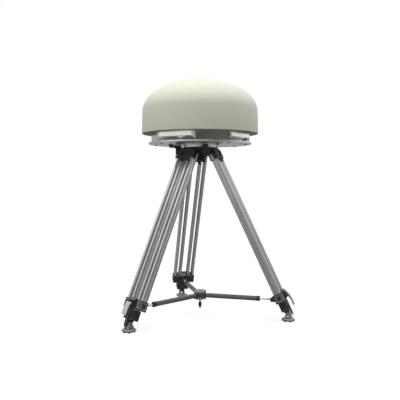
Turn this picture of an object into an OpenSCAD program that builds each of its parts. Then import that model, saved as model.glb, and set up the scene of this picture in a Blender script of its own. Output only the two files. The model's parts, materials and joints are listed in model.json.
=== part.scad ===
// Reference-station satellite receiver on a low twin-tube tripod.
// Origin: centre of the stance on the ground. +Z up. The front of the head faces -Y.
// Sizes in millimetres. Angles round the axis are counted from -Y towards +X.

/* [Radome] */
// Outer diameter of the radome at its open rim
radome_d = 500; // [480:5:560]
// How much the straight wall draws in from the rim to the shoulder, on the radius
radome_draft = 3; // [0:0.5:6]
// Height of the straight wall above the rim
radome_wall_h = 95; // [80:1:120]
// Rise of the rounded top above the straight wall
radome_rise = 137; // [110:1:170]
// Thickness of the radome shell
radome_t = 3; // [2:0.5:5]
// Height of the open rim above the base disc
rim_lift = 38; // [25:1:45]
// Width of the flange inside the radome
flange_w = 24; // [18:1:28]
// Thickness of the flange inside the radome
flange_t = 5; // [4:0.5:8]
// Thickness of the radome gasket
gasket_t = 2; // [1:0.5:3]
// Number of screws that hold the radome
radome_screws_n = 12; // [8:2:16]

/* [Receiver housing] */
// Distance across the flats of the octagonal housing
housing_af = 401; // [390:1:410]
// Radius of the housing's upright corners
housing_corner_r = 40; // [20:1:60]
// Height of the housing wall
housing_h = 87; // [84:1:100]
// Thickness of the housing wall
housing_t = 2.5; // [2:0.5:4]
// Inward run of the chamfer along the foot of each diagonal face
chamfer_in = 12; // [6:0.5:16]
// Height of the chamfer along the foot of each diagonal face
chamfer_h = 18.5; // [14:0.5:22]
// Radius of the base disc
base_r = 221; // [218:1:235]
// Thickness of the base disc
base_t = 7; // [5:0.5:10]
// Thickness of the deck plate that closes the housing
deck_t = 4; // [3:0.5:6]
// Radius of the circle of case screws
case_screw_r = 196; // [190:1:198]
// Length of the cooling grilles
grille_w = 70; // [50:1:76]
// Number of slots in the intake grille
grille_slots = 7; // [4:1:9]

/* [Electronics] */
// Side of the square cooling fan
fan_w = 76; // [60:1:80]
// Depth of the cooling fan
fan_t = 25; // [15:1:28]
// Radius of the choke ring's outer wall
choke_r = 188; // [150:1:200]
// Height of the choke ring's walls
choke_h = 45; // [30:1:55]
// Height of the posts under the choke ring
post_h = 14; // [8:1:20]
// Battery length
battery_w = 200; // [120:5:220]
// Battery height
battery_h = 55; // [30:1:70]

/* [Crown] */
// Thickness of the adapter plate between the crown and the base disc
adapter_t = 13; // [10:0.5:20]
// Radius of the adapter plate
adapter_r = 71; // [66:1:76]
// Distance of the corner bosses from the axis
boss_r = 95; // [93:1:98]
// Height of the crown plate
crown_t = 16; // [14:0.5:20]
// Diameter of the fixing screw under the receiver
stud_d = 16; // [12:0.5:16]

/* [Legs] */
// Height of the leg hinges above the ground
hinge_z = 715; // [500:5:1100]
// Distance of the leg hinges from the axis
hinge_r = 50; // [49:0.5:51]
// Radius of the circle that the feet stand on
stance_r = 383; // [300:1:440]
// Width of the leg rails, which are tubes drawn with two bores one behind the other
tube_d = 13.5; // [10:0.5:15]
// Wall of the leg rails
tube_t = 1.3; // [1:0.1:2]
// Distance between the two bores of a rail
rail_step = 16.5; // [14:0.5:18]
// Distance between the two fixed rails of a leg
outer_pitch = 85.5; // [80:0.5:95]
// Distance between the two sliding rails of a leg
inner_pitch = 38.5; // [34:0.5:44]
// Wall of the leg castings outside the rails
casting_wall = 2; // [1:0.25:4]
// Diameter of the leg hinge pins
pin_d = 8; // [6:0.5:10]
// Height of the bracket at the top of a leg
bracket_h = 48; // [36:1:60]
// Height of the clamp casting
clamp_h = 38; // [30:1:44]

/* [Feet] */
// Radius of the rubber shoe
shoe_r = 28; // [24:0.5:32]
// Height of the shoe's pivot above the ground
shoe_pivot_z = 30; // [28:0.5:36]
// Diameter of the shoe's cross pin
shoe_pin_d = 6; // [5:0.5:7]
// Thickness of the foot's tongue
tongue_w = 12; // [8:0.5:14]

/* [Spreader] */
// Radius of the spreader hub
hub_r = 27; // [26:0.5:34]
// Height of the spreader hub
hub_h = 36; // [32:1:44]
// Distance of the arm pivots from the axis
arm_pivot_r = 19; // [18:0.5:20]
// Outer diameter of the arm tubes
arm_d = 20; // [16:0.5:24]
// Diameter of the sliding rods
rod_d = 8; // [6:0.5:10]
// Gap between an arm tube and the leg lug, which the rod bridges
rod_gap = 52; // [48:1:70]
// Diameter of the pin in the leg lug
lug_pin_d = 6; // [5:0.5:7]
// Radial play of the rod eye on the lug pin, where the linkage is left open
eye_play = 1.8; // [1.6:0.1:2.4]

/* [Clearances] */
// Radial clearance of everything that turns or slides
run_gap = 0.05; // [0.02:0.01:0.1]
// Gap between parts that move past each other without guiding
free_gap = 0.5; // [0.4:0.1:1]
// Gap round a fixed insert
seat_gap = 0.1; // [0.05:0.05:0.3]

/* [Hidden] */
$fn = 96;
LEGS = ["left", "right", "rear"];
LEG_ANGLE = [-60, 60, 180];

// Colours
BLACK = [0.13, 0.13, 0.13];
DARK = [0.24, 0.24, 0.25];
GREY = [0.5, 0.5, 0.5];
SILVER = [0.8, 0.8, 0.79];
CREAM = [0.86, 0.87, 0.8];
GREEN = [0.1, 0.35, 0.2];
GOLD = [0.8, 0.65, 0.3];

// Heights, from the leg hinges up
crown_top = hinge_z + 12;
base_z = crown_top + adapter_t;
case_z = base_z + base_t;
deck_z = case_z + housing_h;
rim_z = case_z + rim_lift;
gasket_z = deck_z + deck_t;
flange_z = gasket_z + gasket_t;
choke_z = gasket_z + post_h;
shoulder_z = rim_z + radome_wall_h;

// Radome
rim_r = radome_d / 2;
shoulder_r = rim_r - radome_draft;
wall_r = rim_r - radome_draft * (flange_z - rim_z) / radome_wall_h - radome_t;
radome_screw_r = wall_r - flange_w / 2;
screw_d = 5;
screw_head_d = 9;
screw_head_h = 3;
dome_steps = 24;

// Housing
housing_a = housing_af / 2;
chamfer_tilt = atan2(chamfer_in, chamfer_h);
case_post_r = 7;
grille_h = 17;
intake_x = -33;
port_x = 45;
port_w = 22;
port_h = 13;
port_up = 2;
button_x = 20;
button_d = 8;
door_pin_d = 2;
door_pin_y = -2;
door_pin_z = port_h / 2 - 1.5;

// Cable sockets under the base disc
socket_r = 127;
socket_d = 10;
socket_reach = 12;
socket_depth = 8;

// Circuit board and fan
board_w = 170;
board_d = 116;
board_z = case_z + 10;
fan_out = 168;

// Crown, with its corner bosses and their screws
adapter_bolt_r = adapter_r - 13;
adapter_bolt_d = 6;
crown_hub_r = 34;
boss_h = 30;
boss_outer_r = 15.5;
boss_neck_r = 10.5;
boss_neck_h = adapter_t - 3;
corner_screw_d = 8;
screw_seat_z = crown_top + adapter_t - 13;
tension_d = 8;

// Leg geometry: s runs down the leg from its hinge, w outwards from the rails' inner bores
leg_w = outer_pitch + tube_d + 2 * casting_wall;
rail_mid = rail_step / 2;
rail_web = 6;
foot_out = rail_mid;
foot_reach = norm([stance_r - hinge_r, hinge_z - shoe_pivot_z]);
foot_s = sqrt(foot_reach ^ 2 - foot_out ^ 2);
tilt = atan2(stance_r - hinge_r, hinge_z - shoe_pivot_z) - atan2(foot_out, foot_s);
clamp_s = foot_s - 97;
rail_out = rail_step + tube_d / 2;
clamp_in = tube_d / 2 + casting_wall + 1;
clamp_wing = rail_out + casting_wall;
clamp_out = clamp_wing + 1.25;
block_s = clamp_s + clamp_h + 2;
fork_t = 6;
block_h = 40;
block_wall = 1.5;
block_w = inner_pitch + tube_d + 2 * block_wall;
block_in = -tube_d / 2 - block_wall;
block_out = rail_out + block_wall;
socket = 8;
knuckle_r = 11;
rail_top_s = knuckle_r + 2;
pin_reach = leg_w / 2 + 12;
bracket_w = outer_pitch - 6;
bracket_in = tube_d / 2 + 6.25;
bracket_out = rail_out + 3;
inner_top_s = bracket_h + 12;

// Spreader lug on the clamp
lug_s = clamp_s + clamp_h / 2 - 2;
lug_out = -29;
lug_t = 5;
eye_t = 6;
eye_wall = 3.4;
eye_r = lug_pin_d / 2 + eye_play + eye_wall;
lug_r = hinge_r + lug_s * sin(tilt) + lug_out * cos(tilt);
lug_z = hinge_z - lug_s * cos(tilt) + lug_out * sin(tilt);
arm_len = lug_r - arm_pivot_r;
arm_tube_end = arm_len - rod_gap;
arm_cap_h = 13;
arm_tongue = 10;
arm_pin_d = 5;
rod_in = 75;
stem_d = 5.8;
stem_in = 5;

// Flip lever on the clamp
lever_out = clamp_out + 15;
lever_s = clamp_s + 22;
lever_w = 29;
lever_pin_d = 5;

// Places
module at_leg(i) {
  rotate([0, 0, LEG_ANGLE[i]]) translate([0, -hinge_r, hinge_z]) rotate([-tilt, 0, 0]) children();
}
module at_boss(i) {
  rotate([0, 0, LEG_ANGLE[i] + 60]) translate([0, -boss_r, 0]) children();
}
module at_shoe(i) {
  rotate([0, 0, LEG_ANGLE[i]]) translate([0, -stance_r, 0]) children();
}
module at_arm(i) {
  rotate([0, 0, LEG_ANGLE[i]]) translate([0, -arm_pivot_r, lug_z]) children();
}
// Frame on the chamfer of a diagonal face: x to the right, -y outwards, z up the slope
module at_chamfer(face) {
  rotate([0, 0, face])
    translate([0, -housing_a + chamfer_in / 2, case_z + chamfer_h / 2])
      rotate([chamfer_tilt, 0, 0]) children();
}
module ring_of(n, r, start = 0) {
  for (k = [0:n - 1]) rotate([0, 0, start + k * 360 / n]) translate([0, -r, 0]) children();
}
// Round bar or hole along x, centred
module cross_bar(d, w) {
  rotate([0, 90, 0]) cylinder(d = d, h = w, center = true);
}
// Outside of a rail at u, from s1 down to s2, with a gap added all round
module rail(u, s1, s2, gap = 0) {
  for (w = [0, rail_step]) translate([u, -w, -s2]) cylinder(d = tube_d + 2 * gap, h = s2 - s1);
  translate([u, 0, 0]) leg_block(rail_web + 2 * gap, 0, rail_step, s1, s2);
}
// Block in a leg frame, centred on u = 0
module leg_block(width, w1, w2, s1, s2) {
  translate([-width / 2, -w2, -s2]) cube([width, w2 - w1, s2 - s1]);
}
// Side outline [w, s] in a leg frame, given a width along the hinge direction
module leg_profile(points, width) {
  rotate([90, 0, 90])
    linear_extrude(width, center = true) polygon([for (p = points) [-p[0], -p[1]]]);
}

// ---------------------------------------------------------------- radome
function dome_points(r, rise, z0) =
  [for (k = [1:dome_steps]) let(a = 90 * k / dome_steps) [r * cos(a), z0 + rise * sin(a)]];

module radome() {
  inner_r = shoulder_r - radome_t;
  outer = concat([[rim_r, rim_z], [shoulder_r, shoulder_z]],
                 dome_points(shoulder_r, radome_rise, shoulder_z));
  inner = concat([[rim_r - radome_t, rim_z], [wall_r, flange_z], [wall_r - flange_w, flange_z],
                  [wall_r - flange_w, flange_z + flange_t], [wall_r, flange_z + flange_t],
                  [inner_r, shoulder_z]],
                 dome_points(inner_r, radome_rise - radome_t, shoulder_z));
  color(CREAM) difference() {
    rotate_extrude() polygon(concat(outer, [for (k = [len(inner) - 1:-1:0]) inner[k]]));
    ring_of(radome_screws_n, radome_screw_r)
      translate([0, 0, flange_z - 1]) cylinder(d = screw_d, h = flange_t + 2);
  }
}

module radome_gasket() {
  color(BLACK) difference() {
    translate([0, 0, gasket_z]) cylinder(r = wall_r - 3, h = gasket_t);
    translate([0, 0, gasket_z - 1]) cylinder(r = wall_r - flange_w + 2, h = gasket_t + 2);
    ring_of(radome_screws_n, radome_screw_r)
      translate([0, 0, gasket_z - 1]) cylinder(d = screw_d + 2 * seat_gap, h = gasket_t + 2);
  }
}

module radome_screws() {
  color(SILVER) ring_of(radome_screws_n, radome_screw_r) {
    translate([0, 0, deck_z - screw_head_h]) cylinder(d = screw_head_d, h = screw_head_h);
    translate([0, 0, deck_z]) cylinder(d = screw_d, h = deck_t + gasket_t + flange_t);
  }
}

// ---------------------------------------------------------------- receiver housing
// Outline of the octagon at a given inset, its corners rounded about fixed centres
function octagon(inset) =
  let(r = housing_corner_r - inset, c = (housing_a - housing_corner_r) / cos(22.5))
  [for (k = [0:7], step = [0:9])
     let(mid = 22.5 + 45 * k, a = mid - 22.5 + 5 * step)
     [c * cos(mid) + r * cos(a), c * sin(mid) + r * sin(a)]];

module housing_body(inset, z1, z2) {
  difference() {
    translate([0, 0, z1]) linear_extrude(z2 - z1) polygon(octagon(inset));
    for (face = [-135, -45, 45, 135])
      at_chamfer(face) translate([-150, -60 + inset, -60]) cube([300, 60, 120]);
  }
}

module housing() {
  color(SILVER) difference() {
    union() {
      difference() {
        housing_body(0, case_z, deck_z);
        housing_body(housing_t, case_z - 1, deck_z + 1);
      }
      ring_of(8, case_screw_r, 22.5) translate([0, 0, case_z]) cylinder(r = case_post_r, h = housing_h);
    }
    ring_of(8, case_screw_r, 22.5) translate([0, 0, case_z - 1]) cylinder(d = screw_d, h = housing_h + 2);
    at_chamfer(-45) translate([intake_x, 0, 0]) grille_hole();
    at_chamfer(135) grille_hole();
    at_chamfer(45) translate([port_x, 0, port_up])
      cube([port_w + 2 * free_gap, 12, port_h + 2 * free_gap], center = true);
    at_chamfer(45) translate([button_x, 0, 0]) rotate([90, 0, 0])
      cylinder(d = button_d + 2 * run_gap, h = 20, center = true);
  }
}

module grille_hole() {
  cube([grille_w + 2 * seat_gap, 20, grille_h + 2 * seat_gap], center = true);
}

// Slotted plate that fills a grille hole from inside, with slots leaning by the given angle
module grille(slots, lean) {
  pitch = (grille_w - 8) / slots;
  lip = 1.4;
  difference() {
    union() {
      translate([-grille_w / 2, 0, -grille_h / 2]) cube([grille_w, housing_t, grille_h]);
      translate([-grille_w / 2 - lip, housing_t, -grille_h / 2 - lip])
        cube([grille_w + 2 * lip, lip, grille_h + 2 * lip]);
    }
    intersection() {
      for (k = [0:slots - 1])
        translate([(k - (slots - 1) / 2) * pitch, 0, 0]) rotate([0, lean, 0])
          cube([pitch * 0.5, 3 * housing_t, 2 * grille_h], center = true);
      cube([grille_w - 5, 3 * housing_t, grille_h - 4], center = true);
    }
  }
}

module intake_grille() {
  color(SILVER) at_chamfer(-45) translate([intake_x, 0, 0]) grille(grille_slots, 32);
}

module exhaust_grille() {
  color(SILVER) at_chamfer(135) grille(grille_slots + 4, 0);
}

module deck_plate() {
  color(SILVER) difference() {
    translate([0, 0, deck_z]) cylinder(r = wall_r - 3, h = deck_t);
    ring_of(radome_screws_n, radome_screw_r)
      translate([0, 0, deck_z - 1]) cylinder(d = screw_d + 2 * seat_gap, h = deck_t + 2);
    ring_of(8, case_screw_r, 22.5)
      translate([0, 0, deck_z - 1]) cylinder(d = screw_d + 2 * seat_gap, h = deck_t + 2);
    translate([0, 0, deck_z - 1]) cylinder(d = 30, h = deck_t + 2);
  }
}

module at_board() {
  translate([18, -18, board_z]) children();
}
module board_corners() {
  for (x = [-1, 1], y = [-1, 1]) translate([x * (board_w / 2 - 7), y * (board_d / 2 - 7), 0]) children();
}

module base_disc() {
  rim = 2;
  color(SILVER) difference() {
    union() {
      rotate_extrude()
        polygon([[0, base_z], [base_r - rim, base_z], [base_r, base_z + rim], [base_r, case_z], [0, case_z]]);
      at_board() board_corners() translate([0, 0, case_z - board_z]) cylinder(d = 8, h = board_z - case_z);
    }
    ring_of(8, case_screw_r, 22.5)
      translate([0, 0, base_z - 1]) cylinder(d = screw_d + 2 * seat_gap, h = base_t + 2);
    ring_of(6, adapter_bolt_r, 30)
      translate([0, 0, base_z - 1]) cylinder(d = adapter_bolt_d, h = base_t + 2);
    ring_of_connectors()
      translate([0, 0, base_z - 1]) cylinder(d = socket_d + 2 + 2 * seat_gap, h = base_t + 2);
  }
}

module case_screws() {
  color(DARK) ring_of(8, case_screw_r, 22.5) {
    translate([0, 0, base_z - screw_head_h]) cylinder(d = screw_head_d, h = screw_head_h);
    translate([0, 0, base_z]) cylinder(d = screw_d, h = base_t + 20);
    translate([0, 0, gasket_z]) cylinder(d = screw_head_d, h = screw_head_h);
    translate([0, 0, deck_z - 20]) cylinder(d = screw_d, h = deck_t + 20);
  }
}

module ring_of_connectors() {
  for (a = [-134, -117.5, -101]) rotate([0, 0, a]) translate([0, -socket_r, 0]) children();
}

module connectors() {
  color(DARK) ring_of_connectors() difference() {
    union() {
      translate([0, 0, base_z - 3]) cylinder(d = 20, h = 3);
      translate([0, 0, base_z - socket_reach]) cylinder(d = socket_d + 4, h = socket_reach - 2);
      translate([0, 0, base_z]) cylinder(d = socket_d + 2, h = base_t + 3);
    }
    translate([0, 0, base_z - socket_reach - 1]) cylinder(d = socket_d, h = socket_depth + 1);
  }
}

// ---------------------------------------------------------------- port and button
module port_panel() {
  depth = 14;
  lip = 1.4;
  ear_x = port_w / 2 - 1;
  color(DARK) at_chamfer(45) translate([port_x, 0, port_up]) {
    difference() {
      union() {
        translate([-port_w / 2, housing_t, -port_h / 2]) cube([port_w, depth, port_h]);
        translate([-port_w / 2 - 2, housing_t, -port_h / 2 - lip]) cube([port_w + 4, lip, port_h + 2 * lip]);
      }
      for (x = [-5, 5]) translate([x, housing_t, -2]) cube([6, 16, 8], center = true);
    }
    for (x = [-ear_x, ear_x - 2])
      translate([x, door_pin_y - 1.4, door_pin_z - 1.4]) cube([2, housing_t + 2.4 - door_pin_y, 2.8]);
    translate([0, door_pin_y, door_pin_z]) cross_bar(door_pin_d, 2 * ear_x - 1);
  }
}

module port_door() {
  barrel_w = port_w - 7;
  flap_t = 1.3;
  flap_w = port_w + 3;
  flap_y = -flap_t - 0.4;
  color(GREY) at_chamfer(45) translate([port_x, 0, port_up]) difference() {
    union() {
      translate([-flap_w / 2, flap_y, -port_h / 2 - 1.5])
        cube([flap_w, flap_t, port_h / 2 + door_pin_z - 0.5]);
      translate([-barrel_w / 2, flap_y, -2]) cube([barrel_w, flap_t, door_pin_z + 2]);
      translate([0, door_pin_y, door_pin_z]) cross_bar(3.2, barrel_w);
    }
    translate([0, door_pin_y, door_pin_z]) cross_bar(door_pin_d + 2 * run_gap, barrel_w + 2);
  }
}

module power_button() {
  proud = 1.8;
  color(DARK) at_chamfer(45) translate([button_x, 0, 0]) rotate([90, 0, 0]) {
    translate([0, 0, -housing_t - 4]) cylinder(d = button_d, h = housing_t + 4 + proud);
    translate([0, 0, -housing_t - 4]) cylinder(d = button_d + 4, h = 4 - free_gap / 2);
  }
}

// ---------------------------------------------------------------- fan
module at_fan() {
  rotate([0, 0, -45]) translate([intake_x, -fan_out, case_z + fan_w / 2]) rotate([90, 0, 0]) children();
}

module fan_frame() {
  color(BLACK) at_fan() {
    difference() {
      translate([-fan_w / 2, -fan_w / 2, -fan_t]) cube([fan_w, fan_w, fan_t]);
      translate([0, 0, -fan_t - 1]) cylinder(d = fan_w - 4, h = fan_t + 2);
    }
    for (a = [0, 90])
      rotate([0, 0, a]) translate([-(fan_w - 2) / 2, -2, -fan_t]) cube([fan_w - 2, 4, 3]);
    translate([0, 0, -fan_t]) cylinder(d = 30, h = 4);
    translate([0, 0, -fan_t]) cylinder(d = 3, h = fan_t - 6);
  }
}

module fan_rotor() {
  hub_d = 30;
  blade = fan_w / 2 - 4.5;
  color(DARK) at_fan() difference() {
    union() {
      translate([0, 0, -fan_t + 5]) cylinder(d = hub_d, h = fan_t - 8);
      for (k = [0:6]) rotate([0, 0, k * 360 / 7]) translate([hub_d / 2 - 3, 0, -fan_t / 2])
        rotate([40, 0, 0]) translate([0, -7, -0.8]) cube([blade - hub_d / 2 + 3, 14, 1.6]);
    }
    translate([0, 0, -fan_t - 1]) cylinder(d = 3 + 2 * run_gap, h = fan_t - 4);
  }
}

// ---------------------------------------------------------------- antenna
module choke_ring() {
  plate = 3;
  color(SILVER) difference() {
    translate([0, 0, choke_z]) union() {
      cylinder(r = choke_r, h = plate);
      for (k = [0:3]) {
        r = choke_r - 29 * k;
        difference() {
          cylinder(r = r, h = plate + choke_h);
          translate([0, 0, plate]) cylinder(r = r - 2, h = choke_h + 1);
        }
      }
    }
    translate([0, 0, choke_z - 1]) cylinder(d = 16, h = plate + 2);
  }
}

module antenna_element() {
  puck = 60;
  z = choke_z + 3;
  color(CREAM) rotate_extrude()
    polygon([[0, z], [puck, z], [puck, z + 20], [puck - 4, z + 30], [20, z + 38], [0, z + 38]]);
}

module antenna_posts() {
  color(GOLD) {
    ring_of(4, 120, 45) translate([0, 0, gasket_z]) cylinder(d = 10, h = post_h);
    translate([0, 0, deck_z - 24]) cylinder(d = 8, h = choke_z + 3 - deck_z + 24);
  }
}

// ---------------------------------------------------------------- electronics
module receiver_board() {
  color(GREEN) at_board() difference() {
    translate([-board_w / 2, -board_d / 2, 0]) cube([board_w, board_d, 2]);
    board_corners() translate([0, 0, -1]) cylinder(d = 3, h = 4);
  }
}

module shield_cans() {
  color(SILVER) at_board() for (x = [-48, 0, 48])
    translate([x - 21, -38, 2]) cube([42, 76, 8]);
}

module heat_sink() {
  color(DARK) at_board() translate([-72, -40, 10]) {
    cube([144, 80, 4]);
    for (k = [0:11]) translate([k * 144 / 12 + 4, 0, 3]) cube([3, 80, 26]);
  }
}

module battery_pack() {
  depth = 56;
  front = socket_r * cos(46) + socket_d / 2 + 4;
  color(BLACK) translate([-battery_w / 2, front, case_z]) cube([battery_w, depth, battery_h]);
}

// ---------------------------------------------------------------- crown
module adapter_plate() {
  color(SILVER) difference() {
    translate([0, 0, crown_top]) cylinder(r = adapter_r, h = adapter_t);
    translate([0, 0, crown_top - 1]) cylinder(d = stud_d, h = adapter_t);
    ring_of(6, adapter_bolt_r, 30) translate([0, 0, crown_top - 1]) {
      cylinder(d = adapter_bolt_d, h = adapter_t + 2);
      cylinder(d = adapter_bolt_d + 5, h = 6);
    }
  }
}

module adapter_bolts() {
  color(DARK) ring_of(6, adapter_bolt_r, 30) translate([0, 0, crown_top + 1]) {
    cylinder(d = adapter_bolt_d + 4, h = 4);
    cylinder(d = adapter_bolt_d, h = adapter_t + base_t - 1);
  }
}

// One corner boss: the wide barrel under the plate and the neck that carries the receiver
module boss_body() {
  translate([0, 0, crown_top]) rotate_extrude()
    polygon([[0, -boss_h], [boss_outer_r, -boss_h], [boss_outer_r, 0], [boss_neck_r, 0],
             [boss_neck_r, boss_neck_h], [0, boss_neck_h]]);
}

module crown() {
  plate_r = boss_r + 4;
  half = 12;
  plate = [for (i = [0:2], side = [-1, 1]) let(a = -90 + 120 * i)
             [plate_r * cos(a) - side * half * sin(a), plate_r * sin(a) + side * half * cos(a)]];
  pocket = leg_w + 2 * free_gap;
  ear = 2 * pin_reach + 8;
  color(BLACK) difference() {
    union() {
      translate([0, 0, crown_top - crown_t]) linear_extrude(crown_t) polygon(plate);
      translate([0, 0, crown_top - boss_h]) cylinder(r = crown_hub_r, h = boss_h);
      for (i = [0:2]) at_boss(i) boss_body();
      for (a = LEG_ANGLE) rotate([0, 0, a]) translate([0, -hinge_r, hinge_z]) cross_bar(2 * knuckle_r, ear);
    }
    for (a = LEG_ANGLE) rotate([0, 0, a]) translate([0, -hinge_r, hinge_z]) {
      cross_bar(2 * (knuckle_r + free_gap), pocket);
      translate([-pocket / 2, -60, -40]) cube([pocket, 60 + knuckle_r + 2, 40]);
      translate([-pocket / 2, -60, -1]) cube([pocket, 60, 40]);
      cross_bar(pin_d, 2 * pin_reach);
    }
    translate([0, 0, crown_top - boss_h - 1]) cylinder(d = stud_d + 2, h = boss_h + 10);
    for (i = [0:2]) at_boss(i) {
      translate([0, 0, screw_seat_z]) cylinder(d = corner_screw_d, h = 20);
      translate([0, 0, crown_top - boss_h - 1]) cylinder(d = tension_d + 2 * run_gap, h = 12);
    }
  }
}

module corner_screws() {
  shank_h = crown_top + boss_neck_h - screw_seat_z;
  color(SILVER) for (i = [0:2]) at_boss(i) translate([0, 0, screw_seat_z]) {
    cylinder(d = corner_screw_d, h = shank_h);
    translate([0, 0, shank_h]) cylinder(d = corner_screw_d + 6, h = 2);
  }
}

module hinge_pins() {
  color(SILVER) for (a = LEG_ANGLE)
    rotate([0, 0, a]) translate([0, -hinge_r, hinge_z]) cross_bar(pin_d, 2 * pin_reach);
}

module fixing_screw() {
  knob_top = crown_top - 34;
  color(BLACK) {
    translate([0, 0, knob_top]) cylinder(d = stud_d - 2 * run_gap, h = adapter_t + 32);
    difference() {
      translate([0, 0, knob_top - 20]) cylinder(r = 19, h = 20);
      ring_of(9, 20.5) translate([0, 0, knob_top - 21]) cylinder(d = 7, h = 22);
    }
  }
}

module tension_lever(i) {
  head_h = 8;
  reach = 13;
  color(BLACK) at_boss(i) translate([0, 0, crown_top - boss_h - head_h]) {
    cylinder(r = tension_d, h = head_h - free_gap);
    cylinder(d = tension_d, h = head_h + 10);
    translate([-3, -reach, 0]) cube([6, reach, 5]);
    translate([0, -reach, -7]) cylinder(r = 4, h = 12);
  }
}

// ---------------------------------------------------------------- legs
module bracket(i) {
  color(BLACK) at_leg(i) difference() {
    union() {
      cross_bar(2 * knuckle_r, leg_w);
      leg_block(leg_w, -9, bracket_out, knuckle_r - 3, knuckle_r + 9);
      leg_block(bracket_w, -bracket_in, bracket_out, knuckle_r - 5, bracket_h);
      leg_block(leg_w, rail_mid, bracket_out, knuckle_r + 8, bracket_h);
      leg_block(leg_w, -knuckle_r, knuckle_r, 0, knuckle_r);
    }
    cross_bar(pin_d + 2 * run_gap, leg_w + 2);
    for (u = [-1, 1]) rail(u * outer_pitch / 2, rail_top_s, bracket_h + 1, seat_gap);
    leg_block(bracket_w - 34, bracket_out - 4, bracket_out + 1, knuckle_r + 4, bracket_h - 6);
  }
}

// Drawn rail with its two bores
module drawn_rail(u, s1, s2) {
  difference() {
    rail(u, s1, s2);
    for (w = [0, rail_step])
      translate([u, -w, -s2 - 1]) cylinder(d = tube_d - 2 * tube_t, h = s2 - s1 + 2);
  }
}

module outer_tubes(i) {
  color(SILVER) at_leg(i) for (u = [-1, 1])
    drawn_rail(u * outer_pitch / 2, rail_top_s, clamp_s + clamp_h - socket);
}

module clamp(i) {
  lug_w = eye_t + 2 * free_gap + 2 * lug_t;
  yoke_w = lever_w + 2 * free_gap + 8;
  color(BLACK) at_leg(i) {
    difference() {
      union() {
        leg_block(leg_w, -clamp_in, clamp_wing, clamp_s, clamp_s + clamp_h);
        leg_block(block_w + 10, -clamp_in, clamp_out, clamp_s, clamp_s + clamp_h);
        leg_profile([[-clamp_in + 1, clamp_s + 6], [lug_out, lug_s - 8], [lug_out - 8, lug_s - 4],
                     [lug_out - 8, lug_s + 8], [-clamp_in + 1, clamp_s + clamp_h - 2]], lug_w);
        leg_profile([[clamp_out - 1, lever_s - 14], [lever_out + 2, lever_s - 6],
                     [lever_out + 5, lever_s + 4], [clamp_out - 1, lever_s + 12]], yoke_w);
        leg_profile([[clamp_out - 2, clamp_s - 2], [clamp_out + 1, clamp_s - 4],
                     [lever_out - 1, clamp_s + 9], [clamp_out - 2, clamp_s + 9]], yoke_w);
      }
      for (u = [-1, 1]) {
        rail(u * outer_pitch / 2, clamp_s - 1, clamp_s + clamp_h - socket, seat_gap);
        rail(u * inner_pitch / 2, clamp_s - 20, clamp_s + clamp_h + 1, run_gap);
      }
      leg_block(eye_t + 2 * free_gap, lug_out - 30, -clamp_in, clamp_s - 10, clamp_s + clamp_h + 10);
      leg_block(lever_w + 2 * free_gap, clamp_out + 1, lever_out + 30, lever_s - 8, lever_s + 40);
    }
    translate([0, -lug_out, -lug_s]) cross_bar(lug_pin_d, lug_w);
    translate([0, -lever_out, -lever_s]) cross_bar(lever_pin_d, yoke_w);
  }
}

module flip_lever(i) {
  color(GREY) at_leg(i) difference() {
    union() {
      translate([0, -lever_out, -lever_s]) cross_bar(11, lever_w);
      leg_profile([[lever_out + 1, lever_s - 4], [lever_out + 5.5, lever_s], [lever_out + 9, lever_s + 24],
                   [lever_out + 8, lever_s + 48], [lever_out + 4, lever_s + 48],
                   [lever_out + 5, lever_s + 24], [lever_out, lever_s + 5]], lever_w);
    }
    translate([0, -lever_out, -lever_s]) cross_bar(lever_pin_d + 2 * run_gap, lever_w + 2);
  }
}

module inner_tubes(i) {
  color(SILVER) at_leg(i) for (u = [-1, 1])
    drawn_rail(u * inner_pitch / 2, inner_top_s, block_s + block_h - socket);
}

module foot(i) {
  tongue_r = 9;
  heel_out = foot_out + 21;
  block_end = block_s + block_h;
  color(DARK) at_leg(i) {
    difference() {
      union() {
        leg_block(block_w, block_in, block_out, block_s, block_end);
        leg_profile([[block_in, block_end - 6], [block_out - 6, block_end - 6],
                     [foot_out + tongue_r, foot_s], [foot_out - tongue_r, foot_s]], tongue_w);
        translate([0, -foot_out, -foot_s]) cross_bar(2 * tongue_r, tongue_w);
        leg_profile([[block_out - 4, block_end - 14], [block_out + 3, block_end - 16],
                     [heel_out, foot_s - 3], [heel_out - 3, foot_s + 13],
                     [heel_out - 8, foot_s + 2], [block_out - 4, block_end - 2]], tongue_w);
      }
      for (u = [-1, 1]) rail(u * inner_pitch / 2, block_s - 1, block_end - socket, seat_gap);
    }
    translate([0, -foot_out, -foot_s]) cross_bar(shoe_pin_d, tongue_w + 13);
  }
}

// One cheek of the shoe's fork: an upright A with its eye at the pivot
module fork_cheek() {
  half_w = 19;
  cheek_eye_r = 8.5;
  cheek_z = 9;
  window_half = half_w - 9;
  shoulder = cheek_eye_r - 0.5;
  rotate([90, 0, 90]) linear_extrude(fork_t) difference() {
    union() {
      polygon([[-half_w, cheek_z], [half_w, cheek_z], [shoulder, shoe_pivot_z + 3],
               [-shoulder, shoe_pivot_z + 3]]);
      translate([0, shoe_pivot_z]) circle(cheek_eye_r);
    }
    polygon([[-window_half, cheek_z + 3], [window_half, cheek_z + 3], [0, shoe_pivot_z - 7]]);
  }
}

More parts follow.
